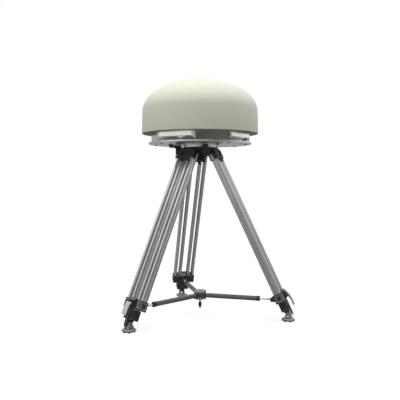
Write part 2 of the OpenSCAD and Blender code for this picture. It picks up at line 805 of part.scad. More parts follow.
module shoe(i) {
  tread_h = 3;
  rim_h = 5;
  dish_r = shoe_r - 5;
  fork_in = tongue_w / 2 + 0.3;
  color(GREY) at_shoe(i) difference() {
    union() {
      rotate_extrude() polygon([[0, tread_h], [shoe_r - 2, tread_h], [shoe_r, tread_h + 2],
                                [shoe_r, tread_h + rim_h], [shoe_r - 2, tread_h + rim_h + 1.5],
                                [dish_r, tread_h + rim_h], [dish_r - 3, tread_h + rim_h + 3],
                                [0, tread_h + rim_h + 3]]);
      ring_of(6, shoe_r - 7) cylinder(d = 9, h = tread_h + 1);
      cylinder(d = 14, h = tread_h + 1);
      for (x = [fork_in, -fork_in - fork_t]) translate([x, 0, 0]) fork_cheek();
    }
    translate([0, 0, shoe_pivot_z]) cross_bar(shoe_pin_d + 2 * run_gap, 2 * shoe_r);
  }
}

// ---------------------------------------------------------------- spreader
module spreader_hub() {
  hub_top = lug_z + hub_h * 0.55;
  slot_w = arm_tongue + 2 * free_gap;
  color(GREY) {
    difference() {
      translate([0, 0, hub_top - hub_h]) cylinder(r = hub_r, h = hub_h);
      translate([0, 0, hub_top - 3]) cylinder(r = hub_r - 4, h = 4);
      for (i = [0:2]) at_arm(i) translate([-slot_w / 2, -30, -9]) cube([slot_w, 38, 18]);
      translate([0, 0, hub_top - hub_h - 1]) cylinder(d = stem_d + 2 * run_gap, h = stem_in + 2);
    }
    for (i = [0:2]) at_arm(i) cross_bar(arm_pin_d, slot_w + 1);
  }
}

module hub_handle() {
  z = lug_z - hub_h * 0.45;
  color(BLACK) translate([0, 0, z]) rotate_extrude()
    polygon([[0, stem_in], [stem_d / 2, stem_in], [stem_d / 2, -12], [5.5, -16], [7.5, -21],
             [7.5, -25], [5, -34], [5, -37], [3, -40], [0, -40]]);
}

module arm_tube(i) {
  color(DARK) at_arm(i) difference() {
    union() {
      cross_bar(12, arm_tongue);
      translate([-arm_tongue / 2, -16, -6]) cube([arm_tongue, 16, 12]);
      translate([0, -12, 0]) rotate([90, 0, 0]) cylinder(d = arm_d, h = arm_tube_end - 12);
      translate([0, -arm_tube_end + arm_cap_h, 0]) rotate([90, 0, 0]) cylinder(d = arm_d + 2, h = arm_cap_h);
    }
    cross_bar(arm_pin_d + 2 * run_gap, arm_tongue + 2);
    translate([0, -20, 0]) rotate([90, 0, 0]) cylinder(d = arm_d - 3, h = arm_tube_end - 20 - arm_cap_h);
    translate([0, -30, 0]) rotate([90, 0, 0]) cylinder(d = rod_d + 2 * run_gap, h = arm_tube_end);
  }
}

module arm_rod(i) {
  color(SILVER) at_arm(i) difference() {
    union() {
      difference() {
        translate([0, -rod_in, 0]) rotate([90, 0, 0]) cylinder(d = rod_d, h = arm_len - rod_in - eye_r + 2);
        for (x = [-1, 1])
          translate([x * (eye_t / 2 + rod_d), -arm_len, 0]) cube([2 * rod_d, 44, 2 * rod_d], center = true);
      }
      translate([0, -arm_len, 0]) cross_bar(2 * eye_r, eye_t);
    }
    translate([0, -arm_len, 0]) cross_bar(lug_pin_d + 2 * eye_play, eye_t + 2);
  }
}

// ---------------------------------------------------------------- drawing
radome();
radome_gasket();
radome_screws();
deck_plate();
housing();
base_disc();
case_screws();
intake_grille();
exhaust_grille();
fan_frame();
fan_rotor();
port_panel();
port_door();
power_button();
connectors();
choke_ring();
antenna_element();
antenna_posts();
receiver_board();
shield_cans();
heat_sink();
battery_pack();
adapter_plate();
adapter_bolts();
crown();
corner_screws();
hinge_pins();
fixing_screw();
for (i = [0:2]) {
  tension_lever(i);
  bracket(i);
  outer_tubes(i);
  clamp(i);
  flip_lever(i);
  inner_tubes(i);
  foot(i);
  shoe(i);
  arm_tube(i);
  arm_rod(i);
}
spreader_hub();
hub_handle();
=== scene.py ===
"""Looks for a satellite receiver with a radome, on a low twin-rail tripod. Metres, in the CAD frame."""
import json
import math

import bmesh
import bpy
from mathutils import Matrix, Vector


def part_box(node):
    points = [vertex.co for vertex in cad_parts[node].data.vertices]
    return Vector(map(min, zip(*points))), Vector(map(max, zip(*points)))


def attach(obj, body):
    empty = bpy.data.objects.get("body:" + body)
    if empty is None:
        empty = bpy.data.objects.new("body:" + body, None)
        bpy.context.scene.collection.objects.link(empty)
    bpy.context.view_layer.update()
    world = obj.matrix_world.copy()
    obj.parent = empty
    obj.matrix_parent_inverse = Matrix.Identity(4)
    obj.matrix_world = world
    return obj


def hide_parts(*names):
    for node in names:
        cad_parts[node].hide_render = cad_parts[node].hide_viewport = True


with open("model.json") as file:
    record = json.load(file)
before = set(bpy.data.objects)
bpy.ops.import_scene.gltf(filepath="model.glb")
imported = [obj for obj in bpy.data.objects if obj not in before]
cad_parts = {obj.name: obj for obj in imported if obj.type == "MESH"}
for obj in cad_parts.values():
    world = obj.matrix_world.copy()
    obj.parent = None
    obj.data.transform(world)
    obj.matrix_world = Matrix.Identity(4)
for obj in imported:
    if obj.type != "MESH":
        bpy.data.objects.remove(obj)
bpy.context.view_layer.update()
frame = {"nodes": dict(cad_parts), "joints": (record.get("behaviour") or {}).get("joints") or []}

MM = 0.001
LEGS = ("left", "right", "rear")
JOINTS = {joint["name"]: joint for joint in frame["joints"]}

# Camera: where it stands, where it looks and how wide it sees
CAMERA_AT = Vector((-0.5595, -2.2439, 0.5908))
CAMERA_HEADING = Vector((0.2419, 0.9703, 0.0))
CAMERA_DOWN = math.radians(2.23)
CAMERA_LENS = 48.0

# Studio: sky level at the horizon and overhead, the heights between which it rises, and what the floor gives
# to the object and to the camera
SKY_LEVELS = (0.42, 2.1)
SKY_HEIGHTS = (0.40, 0.96)
FLOOR_GLOW = (0.10, 0.80)
SOFTBOX_W = 7.0
# Direction, cosine where the full level starts, cosine where it ends, and level
SCREENS = (((-0.97, -0.24, 0.05), 0.93, 0.72, 0.55), ((0.97, 0.24, 0.05), 0.93, 0.72, 0.50))
DARK_SIDE = ((0.39, -0.92, 0.0), 0.97, 0.90, 0.86)

# Sizes that the detail pieces share with the castings
CLAMP_H = 38 * MM
CASTING_WALL = 2 * MM
RAIL_STEP = 16.5 * MM
RAIL_W = 13.5 * MM
OUTER_PITCH = 85.5 * MM
INNER_PITCH = 38.5 * MM
CLAMP_MIDDLE_W = 65 * MM
FOOT_BLOCK_H = 40 * MM
FOOT_WALL = 1.5 * MM
ARM_CAP = 13 * MM
SHOE_RING_TOP = 6.5 * MM
CHAMFER_IN, CHAMFER_H = 12 * MM, 18.5 * MM
GRILLE_SIZE = (70 * MM, 17 * MM)
HUB_RIM_H = 7 * MM
BAND_H, BAND_PROUD = 4 * MM, 0.8 * MM


# ---------------------------------------------------------------- places
def leg_frame(leg):
    """Frame at a leg's hinge: x along the hinge, -y outwards from the leg, -z down it."""
    x = -Vector(JOINTS[f"leg_{leg}_spread"]["axis"]).normalized()
    z = -Vector(JOINTS[f"leg_{leg}_extension"]["axis"]).normalized()
    y = z.cross(x).normalized()
    matrix = Matrix((x, y, z)).transposed().to_4x4()
    matrix.translation = Vector(JOINTS[f"leg_{leg}_spread"]["pos_m"])
    return matrix


LEG_FRAMES = {leg: leg_frame(leg) for leg in LEGS}


def extent(node, matrix):
    """Lowest and highest corners of a CAD node in the matrix's own frame."""
    inverse = matrix.inverted()
    points = [inverse @ vertex.co for vertex in frame["nodes"][node].data.vertices]
    low = Vector([min(point[axis] for point in points) for axis in range(3)])
    high = Vector([max(point[axis] for point in points) for axis in range(3)])
    return low, high


def chamfer_frame(face_turn):
    """Frame on the chamfer of a diagonal face: x to the right, -y outwards, z up the slope."""
    low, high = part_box("housing")
    half = (high.x - low.x) / 2
    turn = Matrix.Rotation(face_turn, 4, "Z")
    place = Matrix.Translation((0, CHAMFER_IN / 2 - half, low.z + CHAMFER_H / 2))
    return turn @ place @ Matrix.Rotation(math.atan2(CHAMFER_IN, CHAMFER_H), 4, "X")


# ---------------------------------------------------------------- mesh tools
def finished(name, bm, body, material, smooth=40, nodes=(), level_faces=False):
    """Turns a bmesh into a piece that rides on a body and may stand for CAD nodes.

    level_faces keeps big flat faces evenly shaded beside their rounded edges.
    """
    mesh = bpy.data.meshes.new(name)
    bm.to_mesh(mesh)
    bm.free()
    mesh.materials.append(material)
    piece = bpy.data.objects.new(name, mesh)
    bpy.context.scene.collection.objects.link(piece)
    mesh.shade_smooth()
    mesh.set_sharp_from_angle(angle=math.radians(smooth))
    if level_faces:
        weigh = piece.modifiers.new("level_faces", "WEIGHTED_NORMAL")
        weigh.keep_sharp = True
        weigh.weight = 100
    if body:
        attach(piece, body)
    if nodes:
        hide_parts(*nodes)
    return piece


def rounded(name, node, body, material, width, segments=2, smooth=40):
    """A CAD casting with its corners broken: welded, its flat faces joined, its sharp edges bevelled."""
    bm = bmesh.new()
    bm.from_mesh(frame["nodes"][node].data)
    bmesh.ops.remove_doubles(bm, verts=bm.verts, dist=2e-6)
    bmesh.ops.dissolve_limit(bm, angle_limit=math.radians(0.6), verts=bm.verts, edges=bm.edges)
    sharp = [e for e in bm.edges if len(e.link_faces) == 2 and e.calc_face_angle() > math.radians(35)]
    rubbed = bm.faces.layers.float.new("edge")
    made = bmesh.ops.bevel(bm, geom=sharp, offset=width, offset_type="OFFSET", affect="EDGES",
                           segments=segments, profile=0.5, material=-1, clamp_overlap=True)
    for face in made["faces"]:
        face[rubbed] = 1.0
    bmesh.ops.triangulate(bm, faces=[f for f in bm.faces if len(f.verts) > 4])
    return finished(name, bm, body, material, smooth, (node,), level_faces=True)


def second_finish(piece, material, chosen):
    """Gives the faces for which chosen(centre, normal) holds another material."""
    piece.data.materials.append(material)
    for face in piece.data.polygons:
        if chosen(face.center, face.normal):
            face.material_index = 1


def place_box(bm, low, high):
    """Adds a box given its corners and returns its vertices."""
    made = bmesh.ops.create_cube(bm, size=1.0)["verts"]
    size = Vector(high) - Vector(low)
    place = Matrix.Translation((Vector(low) + Vector(high)) / 2) @ Matrix.Diagonal((*size, 1))
    bmesh.ops.transform(bm, matrix=place, verts=made)
    return made


def break_edges(bm, verts, width, segments=2):
    """Bevels the edges of one added shape and returns all its vertices."""
    edges = list({e for v in verts for e in v.link_edges})
    made = bmesh.ops.bevel(bm, geom=edges, offset=width, offset_type="OFFSET", affect="EDGES",
                           segments=segments, profile=0.5, material=-1, clamp_overlap=True)
    return list({v for v in verts + made["verts"] if v.is_valid})


def block(bm, low, high, matrix, bevel):
    """Adds a box with broken edges, given its corners in the matrix's frame."""
    verts = break_edges(bm, place_box(bm, low, high), bevel)
    bmesh.ops.transform(bm, matrix=matrix, verts=verts)


def framed_plate(bm, low, high, matrix, border, depth, bevel=0.3 * MM):
    """Adds a plate whose -y face is sunk inside a raised border and takes the piece's second finish."""
    made = place_box(bm, low, high)
    front = min({f for v in made for f in v.link_faces}, key=lambda f: f.calc_center_median().y)
    bmesh.ops.inset_region(bm, faces=[front], thickness=border, use_even_offset=True)
    bmesh.ops.translate(bm, verts=front.verts[:], vec=(0, depth, 0))
    front.material_index = 1
    verts = break_edges(bm, list(set(made) | set(front.verts)), bevel)
    bmesh.ops.transform(bm, matrix=matrix, verts=verts)


def ring(bm, inner, outer, low, high, matrix, chamfer=0.4 * MM, steps=48):
    """Adds a turned ring or, with no inner radius, a turned button, about the matrix's z axis."""
    outline = [(inner, low), (outer - chamfer, low), (outer, low + chamfer),
               (outer, high - chamfer), (outer - chamfer, high), (inner, high)]
    points = [bm.verts.new((r, 0, z)) for r, z in outline]
    edges = [bm.edges.new((a, b)) for a, b in zip(points, points[1:])]
    if inner > 0:
        edges.append(bm.edges.new((points[-1], points[0])))
    before = set(bm.verts) - set(points)
    bmesh.ops.spin(bm, geom=points + edges, axis=(0, 0, 1), cent=(0, 0, 0), dvec=(0, 0, 0),
                   angle=2 * math.pi, steps=steps, use_merge=True, use_duplicate=False)
    made = [v for v in bm.verts if v not in before]
    bmesh.ops.remove_doubles(bm, verts=made, dist=1e-6)
    made = [v for v in bm.verts if v not in before]
    bmesh.ops.recalc_face_normals(bm, faces=list({f for v in made for f in v.link_faces}))
    bmesh.ops.transform(bm, matrix=matrix, verts=made)


# ---------------------------------------------------------------- material tools
def add(tree, kind, **values):
    made = tree.nodes.new(kind)
    for key, value in values.items():
        setattr(made, key, value)
    return made


def group_of(name, inputs, outputs):
    """An empty effect group with named inputs (name, default) and outputs."""
    tree = bpy.data.node_groups.new(name, "ShaderNodeTree")
    tree.interface.new_socket("Vector", in_out="INPUT", socket_type="NodeSocketVector")
    for label, default in inputs:
        socket = tree.interface.new_socket(label, in_out="INPUT", socket_type="NodeSocketFloat")
        socket.default_value = default
    for label in outputs:
        tree.interface.new_socket(label, in_out="OUTPUT", socket_type="NodeSocketFloat")
    return tree, add(tree, "NodeGroupInput"), add(tree, "NodeGroupOutput")


def noise_in(tree, vector, scale, detail=3.0, roughness=0.5):
    noise = add(tree, "ShaderNodeTexNoise")
    noise.inputs["Detail"].default_value = detail
    noise.inputs["Roughness"].default_value = roughness
    tree.links.new(vector, noise.inputs["Vector"])
    if isinstance(scale, float):
        noise.inputs["Scale"].default_value = scale
    else:
        tree.links.new(scale, noise.inputs["Scale"])
    return noise.outputs["Fac"]


def spread_out(tree, value, low, high, to_low=0.0, to_high=1.0):
    ramp = add(tree, "ShaderNodeMapRange")
    for label, number in (("From Min", low), ("From Max", high), ("To Min", to_low), ("To Max", to_high)):
        ramp.inputs[label].default_value = number
    tree.links.new(value, ramp.inputs["Value"])
    return ramp.outputs["Result"]


def make_grain():
    """Fine cast or moulded grain."""
    tree, inside, outside = group_of("fine_grain", [("Scale", 900.0)], ["Height"])
    height = noise_in(tree, inside.outputs["Vector"], inside.outputs["Scale"], 4.0, 0.6)
    tree.links.new(height, outside.inputs["Height"])
    return tree


def make_handling():
    """Broad patches left by hands and weather, from 0 to 1."""
    tree, inside, outside = group_of("handling_patches", [("Scale", 9.0)], ["Mask"])
    patches = noise_in(tree, inside.outputs["Vector"], inside.outputs["Scale"], 5.0, 0.6)
    tree.links.new(spread_out(tree, patches, 0.35, 0.68), outside.inputs["Mask"])
    return tree


def make_wear():
    """Where rounded edges have rubbed, broken up by noise. The bevelled faces carry the edge attribute."""
    tree, inside, outside = group_of("edge_wear", [("Scale", 160.0)], ["Mask"])
    edge = add(tree, "ShaderNodeAttribute", attribute_name="edge").outputs["Fac"]
    breakup = spread_out(tree, noise_in(tree, inside.outputs["Vector"], inside.outputs["Scale"]), 0.42, 0.62)
    both = add(tree, "ShaderNodeMath", operation="MULTIPLY")
    tree.links.new(edge, both.inputs[0])
    tree.links.new(breakup, both.inputs[1])
    tree.links.new(both.outputs["Value"], outside.inputs["Mask"])
    return tree


def make_drawn():
    """Fine lines that run along z of the vector it is given."""
    tree, inside, outside = group_of("drawn_lines", [("Scale", 700.0)], ["Height"])
    stretch = add(tree, "ShaderNodeMapping")
    stretch.inputs["Scale"].default_value = (1.0, 1.0, 0.004)
    tree.links.new(inside.outputs["Vector"], stretch.inputs["Vector"])
    lines = noise_in(tree, stretch.outputs["Vector"], inside.outputs["Scale"], 3.0, 0.55)
    tree.links.new(lines, outside.inputs["Height"])
    return tree


GRAIN, HANDLING, WEAR, DRAWN = make_grain(), make_handling(), make_wear(), make_drawn()


def finish_of(name, colour, second, roughness, metallic=0.0, grain=900.0, depth=0.05, wear=None,
              turn=None, patches=9.0, coat=0.0, specular=0.5):
    """One material: two tones in handling patches, grain or drawn lines as bump, and worn edges.

    roughness is (least, most). wear is the colour of rubbed edges. turn is the frame that drawn lines follow.
    """
    material = bpy.data.materials.new(name)
    material.use_nodes = True
    tree = material.node_tree
    shader = tree.nodes["Principled BSDF"]
    shader.inputs["Coat Weight"].default_value = coat
    shader.inputs["Specular IOR Level"].default_value = specular
    shader.inputs["Metallic"].default_value = metallic
    vector = add(tree, "ShaderNodeTexCoord").outputs["Object"]

    def placed(effect, scale, source):
        made = add(tree, "ShaderNodeGroup", node_tree=effect)
        made.inputs["Scale"].default_value = scale
        tree.links.new(source, made.inputs["Vector"])
        return made.outputs[0]

    mask = placed(HANDLING, patches, vector)
    tone = add(tree, "ShaderNodeMix", data_type="RGBA")
    tone.inputs["A"].default_value = (*colour, 1)
    tone.inputs["B"].default_value = (*second, 1)
    tree.links.new(mask, tone.inputs["Factor"])
    result = tone.outputs["Result"]
    if wear:
        rubbed = add(tree, "ShaderNodeMix", data_type="RGBA")
        tree.links.new(placed(WEAR, 160.0, vector), rubbed.inputs["Factor"])
        tree.links.new(result, rubbed.inputs["A"])
        rubbed.inputs["B"].default_value = (*wear, 1)
        result = rubbed.outputs["Result"]
    tree.links.new(result, shader.inputs["Base Color"])
    tree.links.new(spread_out(tree, mask, 0.0, 1.0, *roughness), shader.inputs["Roughness"])
    bump = add(tree, "ShaderNodeBump")
    bump.inputs["Distance"].default_value = 0.0004
    bump.inputs["Strength"].default_value = depth
    if turn is None:
        height = placed(GRAIN, grain, vector)
    else:
        mapping = add(tree, "ShaderNodeMapping")
        mapping.inputs["Rotation"].default_value = turn.inverted().to_euler()
        tree.links.new(vector, mapping.inputs["Vector"])
        height = placed(DRAWN, grain, mapping.outputs["Vector"])
    tree.links.new(height, bump.inputs["Height"])
    tree.links.new(bump.outputs["Normal"], shader.inputs["Normal"])
    return material


RADOME_PAINT = finish_of("radome_paint", (0.66, 0.68, 0.56), (0.68, 0.70, 0.585), (0.5, 0.6),
                         grain=1400.0, depth=0.05, patches=3.0, specular=0.3)
CASE_METAL = finish_of("case_metal", (0.78, 0.78, 0.76), (0.72, 0.72, 0.70), (0.16, 0.24), metallic=1.0,
                       grain=600.0, depth=0.015)
DISC_METAL = finish_of("disc_metal", (0.74, 0.74, 0.72), (0.68, 0.68, 0.66), (0.26, 0.36), metallic=1.0,
                       grain=700.0, depth=0.02)
BRIGHT_STEEL = finish_of("bright_steel", (0.80, 0.80, 0.79), (0.70, 0.70, 0.69), (0.14, 0.26), metallic=1.0,
                         grain=1200.0, depth=0.02)
DARK_STEEL = finish_of("dark_steel", (0.05, 0.05, 0.05), (0.08, 0.08, 0.08), (0.3, 0.45), metallic=0.7,
                       grain=1200.0, depth=0.03, wear=(0.35, 0.35, 0.34))
BLACK_CASTING = finish_of("black_casting", (0.012, 0.012, 0.012), (0.022, 0.022, 0.021), (0.38, 0.52),
                          grain=900.0, depth=0.22, wear=(0.16, 0.16, 0.155))
BLACK_PLASTIC = finish_of("black_plastic", (0.016, 0.016, 0.016), (0.026, 0.026, 0.026), (0.36, 0.5),
                          grain=1300.0, depth=0.12, wear=(0.10, 0.10, 0.10))
CLAMP_PLASTIC = finish_of("clamp_plastic", (0.030, 0.030, 0.031), (0.045, 0.045, 0.045), (0.35, 0.5),
                          grain=1100.0, depth=0.15, wear=(0.14, 0.14, 0.14))
TRIM_GREY = finish_of("trim_grey", (0.32, 0.32, 0.32), (0.38, 0.38, 0.375), (0.32, 0.46),
                      grain=1200.0, depth=0.08, wear=(0.42, 0.42, 0.41))
LEVER_PAINT = finish_of("lever_paint", (0.50, 0.50, 0.45), (0.44, 0.44, 0.40), (0.3, 0.42),
                        grain=1300.0, depth=0.05, wear=(0.66, 0.66, 0.64))
ARM_PLASTIC = finish_of("arm_plastic", (0.09, 0.09, 0.09), (0.12, 0.12, 0.12), (0.20, 0.30),
                        grain=1000.0, depth=0.06, wear=(0.2, 0.2, 0.2))
HUB_PLASTIC = finish_of("hub_plastic", (0.32, 0.32, 0.32), (0.38, 0.38, 0.38), (0.34, 0.46),
                        grain=1100.0, depth=0.08, wear=(0.36, 0.36, 0.36))
SHOE_RUBBER = finish_of("shoe_rubber", (0.26, 0.26, 0.26), (0.32, 0.32, 0.318), (0.45, 0.6),
                        grain=1500.0, depth=0.3)
SHOE_TREAD = finish_of("shoe_tread", (0.035, 0.035, 0.035), (0.055, 0.055, 0.055), (0.6, 0.8),
                       grain=1500.0, depth=0.3)
# Darker copy of the hub plastic for the hub's side faces: painted shade, so the sides read darker than the
# lit top
HUB_PAINTED_SHADE = finish_of("hub_painted_shade", (0.05, 0.05, 0.05), (0.07, 0.07, 0.07), (0.4, 0.55),
                     grain=1100.0, depth=0.08)
PORT_PLASTIC = finish_of("port_plastic", (0.17, 0.17, 0.17), (0.21, 0.21, 0.21), (0.4, 0.5),
                         grain=1600.0, depth=0.08)
SEAL_RUBBER = finish_of("seal_rubber", (0.02, 0.02, 0.02), (0.03, 0.03, 0.03), (0.6, 0.75),
                        grain=1500.0, depth=0.1)
ANTENNA_RESIN = finish_of("antenna_resin", (0.72, 0.71, 0.62), (0.66, 0.65, 0.57), (0.35, 0.5))
PLATED_BRASS = finish_of("plated_brass", (0.70, 0.52, 0.22), (0.60, 0.44, 0.18), (0.2, 0.34), metallic=1.0)
BOARD_MASK = finish_of("board_mask", (0.015, 0.11, 0.045), (0.02, 0.14, 0.06), (0.25, 0.4), coat=0.3)
BATTERY_WRAP = finish_of("battery_wrap", (0.02, 0.02, 0.035), (0.03, 0.03, 0.05), (0.2, 0.35), coat=0.2)
RAIL_METAL = {
    leg: finish_of(f"rail_metal_{leg}", (0.62, 0.62, 0.61), (0.54, 0.54, 0.53), (0.12, 0.22), metallic=1.0,
                   grain=900.0, depth=0.04, turn=LEG_FRAMES[leg].to_3x3())
    for leg in LEGS
}


# ---------------------------------------------------------------- camera, floor and light
def make_camera():
    camera = bpy.data.objects.new("camera", bpy.data.cameras.new("camera"))
    bpy.context.scene.collection.objects.link(camera)
    camera.data.lens = CAMERA_LENS
    camera.data.sensor_width = 36.0
    camera.location = CAMERA_AT
    heading = CAMERA_HEADING.normalized() * math.cos(CAMERA_DOWN) - Vector((0, 0, math.sin(CAMERA_DOWN)))
    camera.rotation_euler = heading.to_track_quat("-Z", "Y").to_euler()
    bpy.context.scene.camera = camera


def make_floor():
    """A pale floor that looks white and gives back only a little light."""
    bm = bmesh.new()
    bmesh.ops.create_circle(bm, cap_ends=True, radius=14.0, segments=96)
    bmesh.ops.translate(bm, verts=bm.verts, vec=(0, 0, -0.0005))
    mesh = bpy.data.meshes.new("floor")
    bm.to_mesh(mesh)
    bm.free()
    floor = bpy.data.objects.new("floor", mesh)
    bpy.context.scene.collection.objects.link(floor)
    paint = bpy.data.materials.new("floor_paint")
    paint.use_nodes = True
    tree = paint.node_tree
    shader = tree.nodes["Principled BSDF"]
    shader.inputs["Base Color"].default_value = (0.22, 0.22, 0.22, 1)
    shader.inputs["Roughness"].default_value = 0.9
    shader.inputs["Specular IOR Level"].default_value = 0.0
    shader.inputs["Emission Color"].default_value = (1, 1, 1, 1)
    glow = spread_out(tree, add(tree, "ShaderNodeLightPath").outputs["Is Camera Ray"], 0.0, 1.0, *FLOOR_GLOW)
    tree.links.new(glow, shader.inputs["Emission Strength"])
    mesh.materials.append(paint)


def facing(tree, way, direction, narrow, wide, level):
    """Light of a given level from one side of the studio, fading out between two cosines."""
    toward = add(tree, "ShaderNodeVectorMath", operation="DOT_PRODUCT")
    toward.inputs[1].default_value = Vector(direction).normalized()
    tree.links.new(way, toward.inputs[0])
    return spread_out(tree, toward.outputs["Value"], wide, narrow, 0.0, level)


def combined(tree, operation, values):
    """Values added or multiplied together."""
    total = values[0]
    for value in values[1:]:
        step = add(tree, "ShaderNodeMath", operation=operation)
        tree.links.new(total, step.inputs[0])
        tree.links.new(value, step.inputs[1])
        total = step.outputs["Value"]
    return total


def make_studio():
    """A white studio: soft light from above, bright screens left and right, a dark side at the front."""
    scene = bpy.context.scene
    scene.view_settings.view_transform = "Standard"
    world = bpy.data.worlds.new("studio")
    scene.world = world
    world.use_nodes = True
    tree = world.node_tree
    background = tree.nodes["Background"]
    way = add(tree, "ShaderNodeTexCoord").outputs["Generated"]
    parts = add(tree, "ShaderNodeSeparateXYZ")
    tree.links.new(way, parts.inputs["Vector"])
    overhead = spread_out(tree, parts.outputs["Z"], *SKY_HEIGHTS, *SKY_LEVELS)
    screens = [facing(tree, way, *screen) for screen in SCREENS]
    shade = add(tree, "ShaderNodeMath", operation="SUBTRACT")
    shade.inputs[0].default_value = 1.0
    tree.links.new(facing(tree, way, *DARK_SIDE), shade.inputs[1])
    level = combined(tree, "MULTIPLY", [combined(tree, "ADD", [overhead] + screens), shade.outputs["Value"]])
    seen = add(tree, "ShaderNodeMix", data_type="FLOAT")
    tree.links.new(add(tree, "ShaderNodeLightPath").outputs["Is Camera Ray"], seen.inputs["Factor"])
    tree.links.new(level, seen.inputs["A"])
    seen.inputs["B"].default_value = 1.0
    tree.links.new(seen.outputs["Result"], background.inputs["Strength"])
    background.inputs["Color"].default_value = (1, 1, 1, 1)
    softbox = bpy.data.lights.new("softbox", "AREA")
    softbox.shape = "DISK"
    softbox.size = 1.6
    softbox.energy = SOFTBOX_W
    lamp = bpy.data.objects.new("softbox", softbox)
    lamp.location = (-0.1, -0.2, 3.0)
    scene.collection.objects.link(lamp)


make_camera()
make_floor()
make_studio()


# ---------------------------------------------------------------- head
def make_radome():
    """The radome as a spun shell with a rolled rim, an inner flange and a smooth crown."""
    low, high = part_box("radome")
    rim_r = (high.x - low.x) / 2
    draft, wall_h, skin = 3 * MM, 95 * MM, 3 * MM
    flange_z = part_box("radome_gasket")[1].z
    flange_t, flange_w = 5 * MM, 24 * MM
    shoulder_r, shoulder_z = rim_r - draft, low.z + wall_h
    rise = high.z - shoulder_z
    wall_in = rim_r - draft * (flange_z - low.z) / wall_h - skin
    steps = 40
    round_top = [(math.cos(a), math.sin(a)) for a in (math.pi / 2 * k / steps for k in range(1, steps + 1))]
    lip = 1.2 * MM
    outline = [(rim_r - lip, low.z), (rim_r - lip * 0.3, low.z + lip * 0.3), (rim_r, low.z + lip)]
    outline += [(shoulder_r, shoulder_z)]
    outline += [(shoulder_r * c, shoulder_z + rise * s) for c, s in round_top]
    outline[-1] = (0, high.z)
    inside = [((shoulder_r - skin) * c, shoulder_z + (rise - skin) * s) for c, s in reversed(round_top)]
    inside[0] = (0, high.z - skin)
    outline_in = inside + [(shoulder_r - skin, shoulder_z), (wall_in, flange_z + flange_t),
                           (wall_in - flange_w, flange_z + flange_t), (wall_in - flange_w, flange_z),
                           (wall_in, flange_z), (rim_r - skin, low.z + lip * 0.5),
                           (rim_r - skin + lip * 0.5, low.z)]
    bm = bmesh.new()
    for side in (outline, outline_in):
        points = [bm.verts.new((r, 0, z)) for r, z in side]
        for a, b in zip(points, points[1:]):
            bm.edges.new((a, b))
    bm.verts.ensure_lookup_table()
    bm.edges.new((bm.verts[0], bm.verts[len(outline) + len(outline_in) - 1]))
    bmesh.ops.spin(bm, geom=bm.verts[:] + bm.edges[:], axis=(0, 0, 1), cent=(0, 0, 0), dvec=(0, 0, 0),
                   angle=2 * math.pi, steps=128, use_merge=True, use_duplicate=False)
    bmesh.ops.remove_doubles(bm, verts=bm.verts, dist=1e-6)
    bmesh.ops.recalc_face_normals(bm, faces=bm.faces)
    finished("radome_shell", bm, "head", RADOME_PAINT, 35, ("radome",))


def make_housing():
    rounded("housing_case", "housing", "head", CASE_METAL, 0.5 * MM, 2, 30)
    rounded("base_plate", "base_disc", "head", DISC_METAL, 0.6 * MM, 2, 30)
    rounded("intake_screen", "intake_grille", "head", CASE_METAL, 0.15 * MM, 1)
    rounded("exhaust_screen", "exhaust_grille", "head", CASE_METAL, 0.15 * MM, 1)
    rounded("port_flap", "port_door", "door", PORT_PLASTIC, 0.35 * MM)
    rounded("power_key", "power_button", "button", BLACK_PLASTIC, 0.4 * MM)
    rounded("adapter_flange", "adapter_plate", "head", DISC_METAL, 0.8 * MM)
    rounded("cable_sockets", "connectors", "head", DARK_STEEL, 0.5 * MM)


def make_grille_shade_sheets():
    """Dark sheets just inside the slots of both grilles: painted shade seen through the openings."""
    half_w, half_h = GRILLE_SIZE[0] / 2 - 3 * MM, GRILLE_SIZE[1] / 2 - 2 * MM
    for name, node, face_turn in (("intake_slot_shade_sheet", "intake_grille", math.radians(-45)),
                                  ("exhaust_slot_shade_sheet", "exhaust_grille", math.radians(135))):
        matrix = chamfer_frame(face_turn)
        low, high = extent(node, matrix)
        across = (low.x + high.x) / 2
        bm = bmesh.new()
        block(bm, (across - half_w, high.y + 0.1 * MM, -half_h), (across + half_w, high.y + 0.9 * MM, half_h),
              matrix, 0.2 * MM)
        # A black sheet as painted shade behind the slots
        finished(name, bm, "head", SEAL_RUBBER)


def make_crown():
    rounded("crown_frame", "crown", "head", BLACK_CASTING, 1.0 * MM, 2)
    rounded("corner_bolts", "corner_screws", "head", BRIGHT_STEEL, 0.5 * MM)
    rounded("fixing_knob_grip", "fixing_screw", "fixing_knob", BLACK_PLASTIC, 1.0 * MM)
    for leg in LEGS:
        rounded(f"tension_handle_{leg}", f"tension_lever_{leg}", f"tension_lever_{leg}", BLACK_PLASTIC,
                0.9 * MM)


# ---------------------------------------------------------------- legs
def make_leg(leg):
    body, lower = f"leg_{leg}", f"lower_leg_{leg}"
    matrix = LEG_FRAMES[leg]
    rounded(f"leg_bracket_{leg}", f"bracket_{leg}", body, BLACK_CASTING, 0.9 * MM)
    rounded(f"leg_clamp_{leg}", f"clamp_{leg}", body, CLAMP_PLASTIC, 0.8 * MM)
    lever = rounded(f"clamp_lever_{leg}", f"flip_lever_{leg}", f"lever_{leg}", LEVER_PAINT,
                    0.9 * MM, 3)
    across = matrix.to_3x3().col[0]
    second_finish(lever, BLACK_PLASTIC, lambda centre, normal: abs(normal.dot(across)) > 0.6)
    rounded(f"foot_block_{leg}", f"foot_{leg}", lower, CLAMP_PLASTIC, 0.9 * MM)
    shoe = rounded(f"rubber_shoe_{leg}", f"shoe_{leg}", f"shoe_{leg}", SHOE_RUBBER, 0.7 * MM)
    second_finish(shoe, SHOE_TREAD, lambda centre, normal: centre.z < SHOE_RING_TOP)
    make_rail_trim(leg, matrix)
    make_clamp_trim(leg, matrix)
    make_foot_trim(leg, matrix)


